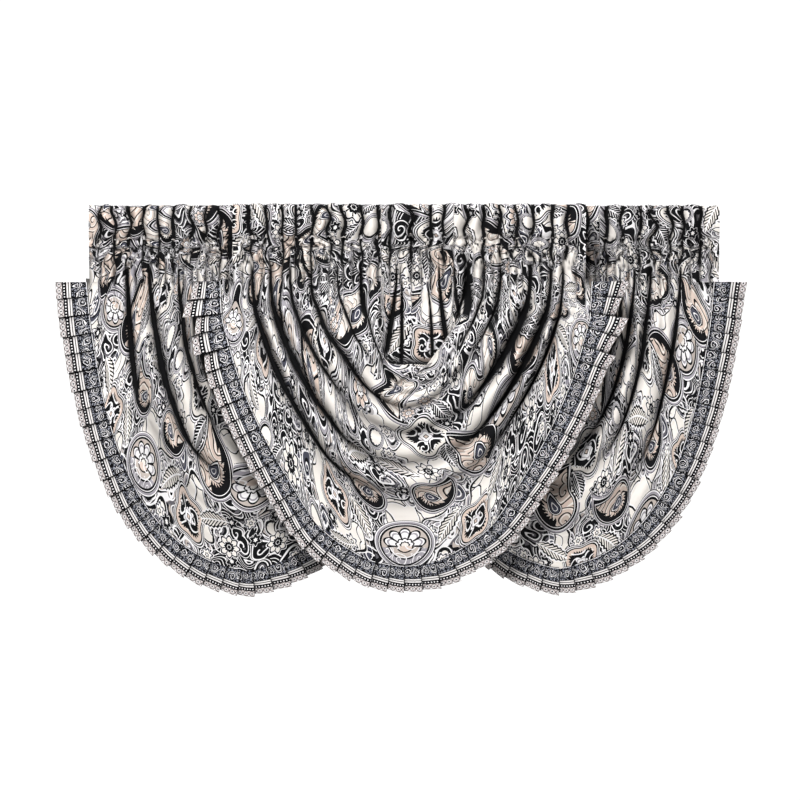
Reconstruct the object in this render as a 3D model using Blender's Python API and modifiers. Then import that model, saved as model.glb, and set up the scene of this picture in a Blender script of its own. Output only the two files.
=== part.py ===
"""Waterfall valance: three swags hung side by side, the middle one in front.

Each swag is three pieces of cloth: a gathered heading that is folded over into a
rod pocket, a waterfall panel that hangs in U-shaped folds, and a knife-pleated
border along the curved hem.

Units are metres. +X is right and -Y is towards the room. Z is 0 at the top edge.
"""

import bmesh
import bpy
import numpy as np

NAME = "waterfall_valance"

# ---- driving dimensions --------------------------------------------------
THICK = 0.002  # the cloth with its backing
SEAM_Z = -0.1705  # where heading and swag are sewn together
STITCH_Z = -0.0815  # the stitch line under the rod pocket
ROW_GAP = 0.080  # the middle valance hangs this far in front of the other two
LAP_UNDER = 0.010  # where those two lap, the left one goes this far back
LAP_OVER = -0.014  # and the right one comes this far forward
SEAM_GAP = 0.0008  # between the heading and what is sewn under it
SEAM_LAP = 0.006  # the swag's edge goes this far behind the border
SEAM_BACK = 0.0038  # and lies this far behind it
GATHER_PITCH = 0.056  # from one gather of the heading to the next
GATHER_DEPTH = 0.008
PLEAT_PITCH = 0.044  # of the knife-pleated border
PLEAT_RISE = 0.0035
BORDER_SIDE = 0.072  # the border's width beside the heading
BORDER_SLANT = 0.062  # half way down
BORDER_FOOT = 0.057  # at the bottom

# ---- tables --------------------------------------------------------------
# The heading's section, from the seam up the front, over the top and down the
# back to the stitch line. depth is Y, rise is Z, ripple is its share of a gather.
HEADING = (
    # row          depth    rise     ripple
    ("seam", 0.000, SEAM_Z, 1.00),
    ("neck", 0.000, -0.1260, 0.80),
    ("stitch", 0.000, STITCH_Z, 0.50),
    ("front", -0.021, -0.0420, 1.00),
    ("brow", -0.014, -0.0080, 0.80),
    ("crown", 0.002, -0.0010, 0.60),
    ("back", 0.024, -0.0380, 0.60),
    ("lap", 0.0045, STITCH_Z + 0.002, 0.50),
)

# The hem's outline as shares of its half width and of its drop.
HEM_MIDDLE = (
    # share of arc,  half,  drop
    (0.00, 1.000, 0.000),
    (0.12, 0.984, 0.130),
    (0.20, 0.955, 0.207),
    (0.32, 0.885, 0.355),
    (0.46, 0.772, 0.527),
    (0.62, 0.618, 0.712),
    (0.75, 0.480, 0.850),
    (0.86, 0.325, 0.932),
    (0.93, 0.160, 0.985),
    (1.00, 0.000, 1.000),
)
HEM_SIDE = (
    # share of arc,  half,  drop
    (0.00, 1.000, 0.000),
    (0.11, 0.976, 0.126),
    (0.20, 0.945, 0.232),
    (0.32, 0.892, 0.385),
    (0.46, 0.812, 0.545),
    (0.60, 0.695, 0.705),
    (0.72, 0.545, 0.832),
    (0.82, 0.395, 0.912),
    (0.91, 0.205, 0.972),
    (1.00, 0.000, 1.000),
)

# The valleys between the U-shaped folds, from the cowl outwards. left and right
# are how far from the middle a valley starts at the seam, and drop is how far
# below it it passes the middle. vee is how pointed it hangs. The depths are of
# the valley beside the heading, left and right of the middle and at the middle.
VALLEYS_MIDDLE = (
    # name      left   right  drop   vee   at_seam left_d right_d middle_d
    ("cowl", 0.088, 0.101, 0.222, 0.50, 0.005, 0.007, 0.007, 0.007),
    ("inner", 0.146, 0.142, 0.242, 0.45, 0.009, 0.012, 0.016, 0.003),
    ("first", 0.204, 0.206, 0.272, 0.30, 0.009, 0.018, 0.008, 0.007),
    ("second", 0.250, 0.277, 0.330, 0.14, 0.010, 0.018, 0.022, 0.007),
    ("third", 0.293, 0.322, 0.404, 0.08, 0.010, 0.022, 0.022, 0.007),
    ("outer", 0.333, 0.349, 0.472, 0.05, 0.010, 0.020, 0.018, 0.006),
)
VALLEYS_SIDE = (
    # name      left   right  drop   vee   at_seam left_d right_d middle_d
    ("cowl", 0.090, 0.090, 0.230, 0.50, 0.005, 0.007, 0.007, 0.007),
    ("first", 0.150, 0.168, 0.372, 0.16, 0.010, 0.020, 0.020, 0.006),
    ("second", 0.214, 0.204, 0.446, 0.05, 0.010, 0.022, 0.020, 0.006),
    ("outer", 0.266, 0.270, 0.540, 0.00, 0.008, 0.012, 0.014, 0.004),
)

# One row for each valance. middle is the X of the hem's lowest point, left and
# right are the hem's half widths, and drop is from the seam to the hem. lap is how
# far the left and the right side of the swag lie behind the heading's face.
VALANCES = {
    "left": dict(
        middle=-0.339, left=0.4235, right=0.4235, drop=0.6915, y=0.0,
        lap=(0.0, LAP_UNDER),
        head=(-0.686, 0.0035), hem=HEM_SIDE, valleys=VALLEYS_SIDE, columns=19,
    ),
    "middle": dict(
        middle=0.009, left=0.4740, right=0.4820, drop=0.6805, y=-ROW_GAP,
        lap=(0.0, 0.0),
        head=(-0.367, 0.4070), hem=HEM_MIDDLE, valleys=VALLEYS_MIDDLE, columns=22,
    ),
    "right": dict(
        middle=0.350, left=0.4135, right=0.4135, drop=0.6875, y=0.0,
        lap=(LAP_OVER, 0.0),
        head=(0.0110, 0.7040), hem=HEM_SIDE, valleys=VALLEYS_SIDE, columns=19,
    ),
}

CLOTH = (0.52, 0.50, 0.48, 1.0)
TRIM = (0.30, 0.31, 0.35, 1.0)


# ---- helpers ---------------------------------------------------------------
def ease(x):
    """0 to 1 with a level start and end."""
    x = np.clip(x, 0.0, 1.0)
    return x * x * (3 - 2 * x)


def through(table_x, table_y, x, level_end=False):
    """A smooth curve through a table's rows, which never overshoots them."""
    table_x, table_y = np.asarray(table_x, float), np.asarray(table_y, float)
    step = np.diff(table_x)
    slope = np.diff(table_y) / step
    tangent = np.zeros(len(table_x))
    inner = slope[1:] * slope[:-1] > 0
    tangent[1:-1][inner] = (
        2 * slope[1:][inner] * slope[:-1][inner] / (slope[1:] + slope[:-1])[inner]
    )
    tangent[0], tangent[-1] = slope[0], 0.0 if level_end else slope[-1]
    i = np.clip(np.searchsorted(table_x, x, "right") - 1, 0, len(step) - 1)
    u = (x - table_x[i]) / step[i]
    return (
        table_y[i] * (1 + 2 * u) * (1 - u) ** 2
        + tangent[i] * step[i] * u * (1 - u) ** 2
        + table_y[i + 1] * u * u * (3 - 2 * u)
        + tangent[i + 1] * step[i] * u * u * (u - 1)
    )


class Hem:
    """The outline of a swag's hem, by its share s of the arc from -1 to 1."""

    def __init__(self, v):
        share, half, drop = np.array(v["hem"]).T
        q = np.linspace(0, 1, 301)
        h, d = through(share, half, q), through(share, drop, q, level_end=True)
        x = np.concatenate([-v["left"] * h[:-1], (v["right"] * h)[::-1]])
        z = -v["drop"] * np.concatenate([d[:-1], d[::-1]])
        run = np.concatenate([[0], np.cumsum(np.hypot(np.diff(x), np.diff(z)))])
        self.length = run[-1]
        self.s = 2 * run / run[-1] - 1
        self.x, self.z = v["middle"] + x, SEAM_Z + z
        tx, tz = np.gradient(self.x, self.s), np.gradient(self.z, self.s)
        size = np.hypot(tx, tz)
        self.nx, self.nz = tz / size, -tx / size
        self.unit = (share, half, drop)

    def width(self, s):
        q = 1 - np.abs(s)
        return through((0, 0.45, 1), (BORDER_SIDE, BORDER_SLANT, BORDER_FOOT), q)

    def at(self, s, inwards):
        """The point at s, inwards of the hem's edge by that much."""
        x = np.interp(s, self.s, self.x) + inwards * -np.interp(s, self.s, self.nx)
        z = np.interp(s, self.s, self.z) + inwards * -np.interp(s, self.s, self.nz)
        return x, np.minimum(z, SEAM_Z - SEAM_GAP)


def lap(v, s):
    """How far back a side of the swag lies, where two valances lap."""
    return np.where(s < 0, v["lap"][0], v["lap"][1]) * ease((np.abs(s) - 0.2) / 0.5)


def front(v, s, out):
    """How far towards the room the cloth stands, at the share out of the swag."""
    q = 1 - np.abs(s)
    return v["y"] + lap(v, s) - ease(q / 0.62) * (0.026 + 0.022 * np.sin(np.pi * np.clip(out, 0, 1)))


def swag_point(v, hem, s, t):
    """A point of the swag. t is -1 at the cowl's top, 0 on the cowl's edge, a
    whole number in each valley, and the number of valleys at the hem's border."""
    names, left, right, drop, vee, seam_d, left_d, right_d, mid_d = zip(*v["valleys"])
    count = len(names)
    q = 1 - np.abs(s)
    share, unit_half, unit_drop = hem.unit
    half0, drop0 = through(share, unit_half, q), through(share, unit_drop, q, True)

    def valley(j):
        half = (1 - vee[j]) * half0 + vee[j] * (1 - q)
        down = (1 - vee[j]) * drop0 + vee[j] * q
        x = v["middle"] + np.where(s < 0, -left[j], right[j]) * half
        return x, SEAM_Z - SEAM_GAP - drop[j] * down

    def depth(j):
        side = np.where(s < 0, left_d[j], right_d[j])
        at_side = seam_d[j] + (side - seam_d[j]) * ease(q / 0.30)
        return at_side + (mid_d[j] - at_side) * ease((q - 0.40) / 0.60)

    if t < 0:
        # The cowl's panel hangs from the seam behind the cowl's edge, turns
        # under it and comes up to it.
        x, z_edge = valley(0)
        y_edge = front(v, s, 0.0) + depth(0)
        gather = 0.004 * np.cos(70 * (x - v["middle"])) - 0.005
        y_back = v["y"] + lap(v, s) + 0.011 + gather * ease(q / 0.3)
        tuck = 0.007 + 0.009 * ease(q / 0.4)
        if t < -0.3:
            down = (t + 1) / 0.7
            z = SEAM_Z - SEAM_GAP + (z_edge - tuck - SEAM_Z + SEAM_GAP) * down
            return x, y_back, z
        turn = (t + 0.3) / 0.3
        y = y_back + (y_edge - y_back) * ease(turn)
        z = z_edge - tuck * (1 - turn**2)
        return x, y, z

    j = min(int(t), count - 1)
    u = t - j
    x0, z0 = valley(j)
    if j == count - 1:
        x1, z1 = hem.at(s, hem.width(s) - SEAM_LAP)
        behind = depth(j) * (1 - u) ** 2.2 + SEAM_BACK * ease((u - 0.6) / 0.3)
    else:
        x1, z1 = valley(j + 1)
        behind = depth(j) * (1 - u) ** 2.4 + depth(j + 1) * u**2.4
    y = front(v, s, t / count) + behind
    return x0 + (x1 - x0) * u, y, z0 + (z1 - z0) * u


def border_point(v, hem, s, rise, w):
    """A point of the border: w is 0 at its seam and 1 at its free edge."""
    x, z = hem.at(s, hem.width(s) * (1 - w))
    return x, front(v, s, 1.0) - PLEAT_RISE * rise * (0.35 + 0.65 * w), z


def heading_point(v, x, rise, row):
    """A point of the heading: rise is 1 on a gather's crest and 0 in its valley."""
    name, depth, z, ripple = HEADING[row]
    y = v["y"] + depth + GATHER_DEPTH * ripple * (1 - rise)
    return x, y, z - (0.0015 * (1 - rise) if name == "crown" else 0.0)


# ---- building ----------------------------------------------------------------
def sheet(name, columns, rows, place, colour, home):
    """A grid of columns by rows, moved by place(column, row) and given its
    thickness by Solidify."""
    mesh = bpy.data.meshes.new(name)
    bm = bmesh.new()
    bmesh.ops.create_grid(bm, x_segments=columns - 1, y_segments=rows - 1, size=0.5)
    for vert in bm.verts:
        column = round((vert.co.x + 0.5) * (columns - 1))
        row = round((vert.co.y + 0.5) * (rows - 1))
        vert.co = [float(c) for c in place(column, row)]
    bmesh.ops.triangulate(bm, faces=bm.faces[:])
    bm.to_mesh(mesh)
    bm.free()
    mesh.shade_smooth()
    obj = bpy.data.objects.new(name, mesh)
    home.objects.link(obj)
    solid = obj.modifiers.new("thickness", "SOLIDIFY")
    solid.thickness = THICK
    solid.offset = 0.0
    material = bpy.data.materials.new(name)
    material.use_nodes = True
    shader = material.node_tree.nodes["Principled BSDF"]
    shader.inputs["Base Color"].default_value = colour
    shader.inputs["Roughness"].default_value = 0.5
    mesh.materials.append(material)
    return obj


def build_swag(side, v, hem, home):
    rows = [-1.0, -0.3, -0.12]
    for j in range(len(v["valleys"])):
        rows += [j, j + 0.16, j + 0.5, j + 0.84]
    rows[-1] = len(v["valleys"]) - 0.42
    rows.append(float(len(v["valleys"])))

    def place(column, row):
        a = 2 * column / (v["columns"] - 1) - 1
        s = a * (0.82 + 0.18 * abs(a))  # closer together where the folds turn
        return swag_point(v, hem, np.float64(s), rows[row])

    sheet(f"swag_{side}", v["columns"], len(rows), place, CLOTH, home)


def build_border(side, v, hem, home):
    pleats = round(hem.length / PLEAT_PITCH)
    stations = []
    for k in range(pleats):
        stations += [(k / pleats, 0.0), ((k + 0.84) / pleats, 1.0)]
    stations.append((1.0, 0.0))

    def place(column, row):
        share, rise = stations[column]
        return border_point(v, hem, np.float64(2 * share - 1), rise, row)

    sheet(f"border_{side}", len(stations), 2, place, TRIM, home)


def build_heading(side, v, home):
    x0, x1 = v["head"]
    gathers = round((x1 - x0) / GATHER_PITCH)
    stations = [(x0, 0.6)]
    for k in range(gathers):
        # Crest and valley, a little uneven.
        crest = k + 0.48 + 0.10 * np.sin(2.1 * k + x0)
        valley = k + 0.98 + 0.08 * np.sin(1.3 * k + 2.0)
        stations += [(x0 + (x1 - x0) * crest / gathers, 1.0)]
        stations += [(x0 + (x1 - x0) * valley / gathers, 0.0)]
    stations[-1] = (x1, 0.5)

    def place(column, row):
        x, rise = stations[column]
        return heading_point(v, x, rise, row)

    sheet(f"heading_{side}", len(stations), len(HEADING), place, CLOTH, home)


def main():
    for obj in list(bpy.data.objects):
        bpy.data.objects.remove(obj)
    home = bpy.data.collections.new(NAME)
    bpy.context.scene.collection.children.link(home)
    for side, v in VALANCES.items():
        hem = Hem(v)
        build_heading(side, v, home)
        build_swag(side, v, hem, home)
        build_border(side, v, hem, home)


main()
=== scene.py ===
"""The looks of the waterfall valance: three swags of paisley jacquard, each with a
gathered heading and a knife-pleated border. Metres, +X right, -Y to the room."""

import math

import bpy
import numpy as np
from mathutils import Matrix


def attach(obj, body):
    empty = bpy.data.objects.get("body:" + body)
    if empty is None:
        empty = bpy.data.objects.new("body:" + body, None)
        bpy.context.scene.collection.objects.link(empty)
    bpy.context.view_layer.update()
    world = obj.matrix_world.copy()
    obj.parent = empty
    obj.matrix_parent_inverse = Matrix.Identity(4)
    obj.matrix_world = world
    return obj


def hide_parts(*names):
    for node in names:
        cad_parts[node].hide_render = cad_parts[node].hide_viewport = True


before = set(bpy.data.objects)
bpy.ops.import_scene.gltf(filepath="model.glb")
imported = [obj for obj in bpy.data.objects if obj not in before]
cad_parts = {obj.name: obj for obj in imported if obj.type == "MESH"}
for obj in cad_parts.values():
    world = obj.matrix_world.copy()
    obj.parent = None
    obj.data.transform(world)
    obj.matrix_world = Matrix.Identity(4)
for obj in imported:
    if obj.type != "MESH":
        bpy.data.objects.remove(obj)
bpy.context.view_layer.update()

MM = 0.001
PX = 0.0022  # metres of cloth for one step of the drawn layout
PRINT = 1.26  # how much larger the print is than its table


def at_x(px):
    """X of a place in the layout, which is 800 steps wide."""
    return (np.asarray(px, float) - 400) * PX


def at_z(py):
    return (204 - np.asarray(py, float)) * PX


# ---- sizes -------------------------------------------------------------------
CLOTH_T = 0.0012
SEAM_Z = -0.1705
STITCH_Z = -0.0815
ROW_GAP = 0.080
BORDER_SIDE, BORDER_SLANT, BORDER_FOOT = 0.072, 0.063, 0.058

HEM_MIDDLE = np.array([
    # share,  half,  drop
    (0.00, 1.000, 0.000),
    (0.12, 0.984, 0.130),
    (0.20, 0.955, 0.207),
    (0.32, 0.885, 0.355),
    (0.46, 0.772, 0.527),
    (0.62, 0.618, 0.712),
    (0.75, 0.480, 0.850),
    (0.86, 0.325, 0.932),
    (0.93, 0.160, 0.985),
    (1.00, 0.000, 1.000),
])
HEM_SIDE = np.array([
    # share,  half,  drop
    (0.00, 1.000, 0.000),
    (0.11, 0.976, 0.126),
    (0.20, 0.945, 0.232),
    (0.32, 0.892, 0.385),
    (0.46, 0.812, 0.545),
    (0.60, 0.695, 0.705),
    (0.72, 0.545, 0.832),
    (0.82, 0.395, 0.912),
    (0.91, 0.205, 0.972),
    (1.00, 0.000, 1.000),
])

# The valleys between the U-shaped folds. Depths are at the seam, on the left and
# right side, and in the middle. gap is half the width of the slot at a valley's
# bottom, which is painted dark as shade.
VALLEYS_MIDDLE = [
    # left   right  drop   vee   seam   left_d right_d mid_d  gap_l  gap_r  fade_l fade_r
    (0.050, 0.104, 0.183, 0.00, 0.005, 0.009, 0.009, 0.014, 0.002, 0.002, 0.80, 0.80),
    (0.096, 0.134, 0.228, 0.52, 0.010, 0.014, 0.022, 0.009, 0.001, 0.004, 0.80, 0.45),
    (0.146, 0.176, 0.250, 0.45, 0.012, 0.020, 0.020, 0.007, 0.002, 0.002, 0.60, 0.50),
    (0.204, 0.212, 0.280, 0.30, 0.014, 0.033, 0.018, 0.016, 0.003, 0.002, 0.92, 0.45),
    (0.250, 0.277, 0.336, 0.14, 0.014, 0.030, 0.037, 0.018, 0.003, 0.008, 0.70, 0.74),
    (0.293, 0.322, 0.404, 0.08, 0.014, 0.037, 0.037, 0.018, 0.005, 0.006, 0.86, 0.78),
    (0.333, 0.349, 0.472, 0.05, 0.014, 0.037, 0.035, 0.016, 0.005, 0.003, 0.86, 0.66),
]
VALLEYS_SIDE = [
    # left   right  drop   vee   seam   left_d right_d mid_d  gap_l  gap_r  fade_l fade_r
    (0.090, 0.090, 0.230, 0.50, 0.005, 0.008, 0.008, 0.014, 0.002, 0.002, 0.80, 0.80),
    (0.150, 0.168, 0.372, 0.16, 0.014, 0.032, 0.030, 0.014, 0.004, 0.004, 0.80, 0.80),
    (0.214, 0.204, 0.446, 0.05, 0.014, 0.034, 0.030, 0.014, 0.006, 0.004, 0.86, 0.72),
    (0.266, 0.270, 0.540, 0.00, 0.012, 0.016, 0.028, 0.011, 0.002, 0.004, 0.25, 0.62),
]

VALANCES = {
    "left": dict(
        middle=-0.339, left=0.4235, right=0.4235, drop=0.6915, y=0.0, lap=(0.0, 0.010),
        head=(-0.686, 0.0035), hem=HEM_SIDE, valleys=VALLEYS_SIDE, seed=3,
        shift=(0.31, 0.12), aside=0.0,
    ),
    "middle": dict(
        middle=0.009, left=0.4740, right=0.4820, drop=0.6805, y=-ROW_GAP, lap=(0.0, 0.0),
        head=(-0.367, 0.4070), hem=HEM_MIDDLE, valleys=VALLEYS_MIDDLE, seed=1,
        shift=(0.0, 0.032), aside=0.115,
    ),
    "right": dict(
        middle=0.350, left=0.4135, right=0.4135, drop=0.6875, y=0.0, lap=(-0.014, 0.0),
        head=(0.0110, 0.7040), hem=HEM_SIDE, valleys=VALLEYS_SIDE, seed=7,
        shift=(-0.22, 0.07), aside=0.0,
    ),
}

# Where the gathers of each heading's rod pocket meet, along the top edge.
GATHERS = {
    "left": [88, 99, 113, 129, 143, 158, 172, 191, 205, 219, 237, 255, 270, 288, 303,
             321, 338, 352, 370, 386, 403.5],
    "middle": [233, 250, 267, 283, 296, 313, 329, 343, 362, 378, 390, 411, 431, 443, 466,
               483, 500, 516, 532, 552, 567, 585],
    "right": [405, 421, 437, 455, 472, 488, 507, 523, 540, 556, 573, 587, 608, 622, 640,
              654, 671, 684, 701, 720],
}


# ---- helpers -------------------------------------------------------------------
def ease(x):
    x = np.clip(x, 0.0, 1.0)
    return x * x * (3 - 2 * x)


def through(tx, ty, x, level_end=False):
    """A smooth curve through a table's rows, which never overshoots them."""
    tx, ty = np.asarray(tx, float), np.asarray(ty, float)
    step = np.diff(tx)
    slope = np.diff(ty) / step
    tangent = np.zeros(len(tx))
    inner = slope[1:] * slope[:-1] > 0
    tangent[1:-1][inner] = (
        2 * slope[1:][inner] * slope[:-1][inner] / (slope[1:] + slope[:-1])[inner]
    )
    tangent[0], tangent[-1] = slope[0], 0.0 if level_end else slope[-1]
    i = np.clip(np.searchsorted(tx, x, "right") - 1, 0, len(step) - 1)
    u = (x - tx[i]) / step[i]
    return (
        ty[i] * (1 + 2 * u) * (1 - u) ** 2
        + tangent[i] * step[i] * u * (1 - u) ** 2
        + ty[i + 1] * u * u * (3 - 2 * u)
        + tangent[i + 1] * step[i] * u * u * (u - 1)
    )


def waves(x, seed, count=5, low=0.6, high=1.7):
    """A smooth wandering value between about -1 and 1, one wave to each unit of x."""
    r = np.random.RandomState(seed)
    total = 0
    for k in range(count):
        f = low + (high - low) * k / max(1, count - 1)
        total = total + np.sin(2 * np.pi * (f * x + r.rand())) * (0.7 + 0.6 * r.rand())
    return total / count


def waves2(x, y, seed, count=9):
    """The same over a plane."""
    r = np.random.RandomState(seed)
    total = 0
    for _ in range(count):
        a, f = r.rand() * 2 * np.pi, 0.55 + 0.9 * r.rand()
        total = total + np.sin(
            2 * np.pi * (f * (math.cos(a) * x + math.sin(a) * y) + r.rand())
        )
    return total / math.sqrt(count)


class Hem:
    """The outline of a swag's hem, by its share s of the arc from -1 to 1."""

    def __init__(self, v):
        share, half, drop = v["hem"].T
        q = np.linspace(0, 1, 601)
        h, d = through(share, half, q), through(share, drop, q, True)
        x = np.concatenate([-v["left"] * h[:-1], (v["right"] * h)[::-1]])
        z = -v["drop"] * np.concatenate([d[:-1], d[::-1]])
        run = np.concatenate([[0], np.cumsum(np.hypot(np.diff(x), np.diff(z)))])
        self.length = run[-1]
        self.s = 2 * run / run[-1] - 1
        self.x, self.z = v["middle"] + x, SEAM_Z + z
        tx, tz = np.gradient(self.x, self.s), np.gradient(self.z, self.s)
        # A little smoothing keeps the pleats square to the edge.
        kernel = np.hanning(41) / np.hanning(41).sum()
        pad = lambda a: np.convolve(np.pad(a, 20, mode="edge"), kernel, mode="valid")
        tx, tz = pad(tx), pad(tz)
        size = np.hypot(tx, tz)
        self.nx, self.nz = tz / size, -tx / size
        self.unit = (share, half, drop)

    def width(self, s):
        q = 1 - np.abs(s)
        return through((0, 0.45, 1), (BORDER_SIDE, BORDER_SLANT, BORDER_FOOT), q)

    def at(self, s, inwards):
        x = np.interp(s, self.s, self.x) - inwards * np.interp(s, self.s, self.nx)
        z = np.interp(s, self.s, self.z) - inwards * np.interp(s, self.s, self.nz)
        return x, z


def lap(v, s):
    return np.where(s < 0, v["lap"][0], v["lap"][1]) * ease((np.abs(s) - 0.2) / 0.5)


def front(v, s, out):
    q = 1 - np.abs(s)
    return v["y"] + lap(v, s) - ease(q / 0.62) * (
        0.026 + 0.022 * np.sin(np.pi * np.clip(out, 0, 1))
    )


def normals_of(p):
    """The normal of each point of a grid of points, towards -Y where it is flat."""
    du = np.gradient(p, axis=1)
    dv = np.gradient(p, axis=0)
    n = np.cross(dv, du)
    n /= np.linalg.norm(n, axis=2, keepdims=True) + 1e-12
    return n


def grid_piece(name, p, flat, materials, thickness=CLOTH_T, painted_shade=None, extra=None,
               corner=None):
    """A sheet from a grid of points (rows, columns, 3), seen from -Y, with its
    flat cloth coordinates in metres, and its thickness behind it."""
    rows, cols = p.shape[:2]
    mesh = bpy.data.meshes.new(name)
    idx = np.arange(rows * cols).reshape(rows, cols)
    quads = np.stack(
        [idx[:-1, :-1], idx[1:, :-1], idx[1:, 1:], idx[:-1, 1:]], axis=-1
    ).reshape(-1, 4)
    # Face out towards -Y.
    a, b, c = (p.reshape(-1, 3)[quads[:, k]] for k in (0, 1, 2))
    if np.cross(b - a, c - b)[:, 1].sum() > 0:
        quads = quads[:, ::-1]
    quads = np.ascontiguousarray(quads)
    mesh.vertices.add(rows * cols)
    mesh.vertices.foreach_set("co", p.astype(np.float32).ravel())
    mesh.loops.add(quads.size)
    mesh.loops.foreach_set("vertex_index", quads.ravel().astype(np.int32))
    mesh.polygons.add(len(quads))
    mesh.polygons.foreach_set("loop_start", np.arange(0, quads.size, 4, dtype=np.int32))
    mesh.update(calc_edges=True)
    mesh.validate()
    mesh.polygons.foreach_set("use_smooth", np.ones(len(quads), bool))
    # The rim of the sheet is a sharp edge.
    rim = np.zeros((rows, cols), bool)
    rim[[0, -1]] = rim[:, [0, -1]] = True
    ends = np.empty(len(mesh.edges) * 2, np.int32)
    mesh.edges.foreach_get("vertices", ends)
    sharp = mesh.attributes.new("sharp_edge", "BOOLEAN", "EDGE")
    sharp.data.foreach_set("value", rim.ravel()[ends.reshape(-1, 2)].all(axis=1))
    f = flat.reshape(-1, 2)
    own = (f - f.min(0)) / np.ptp(f, axis=0).max()
    bake = mesh.uv_layers.new(name="OFBake")
    bake.uv.foreach_set("vector", own[quads.ravel()].astype(np.float32).ravel())
    layer = mesh.attributes.new("flat", "FLOAT_VECTOR", "CORNER")
    full = np.zeros((quads.size, 3), np.float32)
    full[:, :2] = f[quads.ravel()]
    layer.data.foreach_set("vector", full.ravel())
    # Painted shade: how dark each point is made where the folds shade it, kept as a point attribute.
    if painted_shade is not None:
        layer = mesh.attributes.new("painted_shade", "FLOAT", "POINT")
        layer.data.foreach_set("value", painted_shade.astype(np.float32).ravel())
    if extra is not None:
        layer = mesh.attributes.new("extra", "FLOAT_VECTOR", "POINT")
        layer.data.foreach_set("vector", extra.astype(np.float32).ravel())
    if corner is not None:
        motif = corner(f[quads])
        layer = mesh.attributes.new("motif", "FLOAT_VECTOR", "CORNER")
        layer.data.foreach_set("vector", motif.astype(np.float32).ravel())
    for material in materials:
        mesh.materials.append(material)
    obj = bpy.data.objects.new(name, mesh)
    home.objects.link(obj)
    mod = obj.modifiers.new("thickness", "SOLIDIFY")
    mod.thickness = thickness
    mod.offset = -1.0
    mod.material_offset = 1  # the cloth's wrong side
    return obj


home = bpy.data.collections.new("valance_looks")
bpy.context.scene.collection.children.link(home)


# ---- the waterfall panels --------------------------------------------------------
# Creases and short valleys beside the long ones: places in the layout, depth, half
# width, and how much of it is a narrow slot, which is also painted dark as shade.
CREASES = {
    "middle": [
        # the cowl's upright gathers
        ([(397, 279), (392, 318), (386, 356)], 0.017, 3.6, 1.0),
        ([(402, 286), (402, 320), (401.5, 368)], 0.014, 2.3, 0.9),
        ([(415, 284), (414, 330), (416, 362)], 0.006, 3.6, 0.1),
        ([(428, 285), (431, 320), (433, 368)], 0.013, 2.3, 0.9),
        ([(439, 281), (443, 318), (449, 356)], 0.018, 3.6, 1.0),
        # short ones beside it
        ([(383, 272), (382, 305), (379, 336)], 0.012, 2.8, 0.9),
        ([(372, 283), (373, 312)], 0.007, 3.6, 0.2),
        ([(361, 281), (363, 306), (368, 324)], 0.012, 3.4, 0.8),
        ([(344, 283), (352, 318), (366, 342)], 0.006, 5.0, 0.1),
        ([(454, 281), (457, 304), (461, 325)], 0.013, 3.0, 0.9),
        ([(468, 281), (468, 302), (463, 324)], 0.022, 6.5, 1.0),
        ([(482, 283), (478, 312), (468, 338)], 0.007, 5.0, 0.2),
        ([(499, 283), (495, 316), (484, 342)], 0.010, 4.0, 0.6),
        ([(513, 283), (507, 312)], 0.006, 4.0, 0.3),
        ([(537, 283), (531, 312), (521, 340)], 0.005, 5.0, 0.0),
        ([(577, 288), (572, 330), (560, 380)], 0.005, 6.0, 0.0),
        ([(240, 290), (249, 340), (266, 392)], 0.005, 6.0, 0.0),
        ([(309, 322), (322, 350), (336, 372)], 0.006, 5.0, 0.1),
        # puckers that fan out from the point of the cowl
        ([(397, 384), (388, 372), (378, 352)], 0.006, 2.6, 0.3),
        ([(397, 384), (399, 374), (401, 366)], 0.004, 2.4, 0.1),
        ([(398, 384), (410, 375), (424, 367)], 0.006, 2.6, 0.3),
        ([(398, 385), (424, 383), (456, 374), (478, 356)], 0.007, 4.0, 0.3),
        ([(396, 386), (390, 398), (380, 409)], 0.004, 3.0, 0.1),
        ([(399, 387), (412, 396), (430, 401)], 0.004, 3.0, 0.0),
        # soft troughs low in the middle
        ([(352, 520), (392, 531), (432, 529), (468, 512)], 0.004, 9.0, 0.0),
    ],
    "left": [
        ([(108, 284), (108, 330), (112, 380)], 0.006, 6.0, 0.0),
        ([(126, 279), (128, 318), (131, 356), (140, 420)], 0.018, 4.2, 0.9),
        ([(137, 300), (141, 350), (152, 404), (172, 452)], 0.005, 6.0, 0.0),
        ([(94, 284), (97, 320), (104, 372)], 0.006, 4.5, 0.1),
        ([(166, 284), (168, 330), (176, 372)], 0.008, 4.5, 0.2),
        ([(118, 400), (138, 450), (172, 498)], 0.005, 9.0, 0.0),
        ([(190, 296), (197, 340), (212, 384), (226, 420)], 0.020, 4.2, 0.9),
        ([(180, 520), (214, 543), (262, 548)], 0.004, 9.0, 0.0),
    ],
    "right": [
        ([(700, 284), (700, 340), (694, 392)], 0.005, 6.0, 0.0),
        ([(664, 284), (664, 330), (655, 380)], 0.008, 4.5, 0.2),
        ([(672, 400), (656, 450), (622, 500)], 0.005, 9.0, 0.0),
        ([(624, 290), (618, 330), (608, 356), (598, 384)], 0.020, 4.4, 0.9),
        ([(620, 520), (584, 545), (540, 545)], 0.004, 9.0, 0.0),
    ],
}


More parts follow.
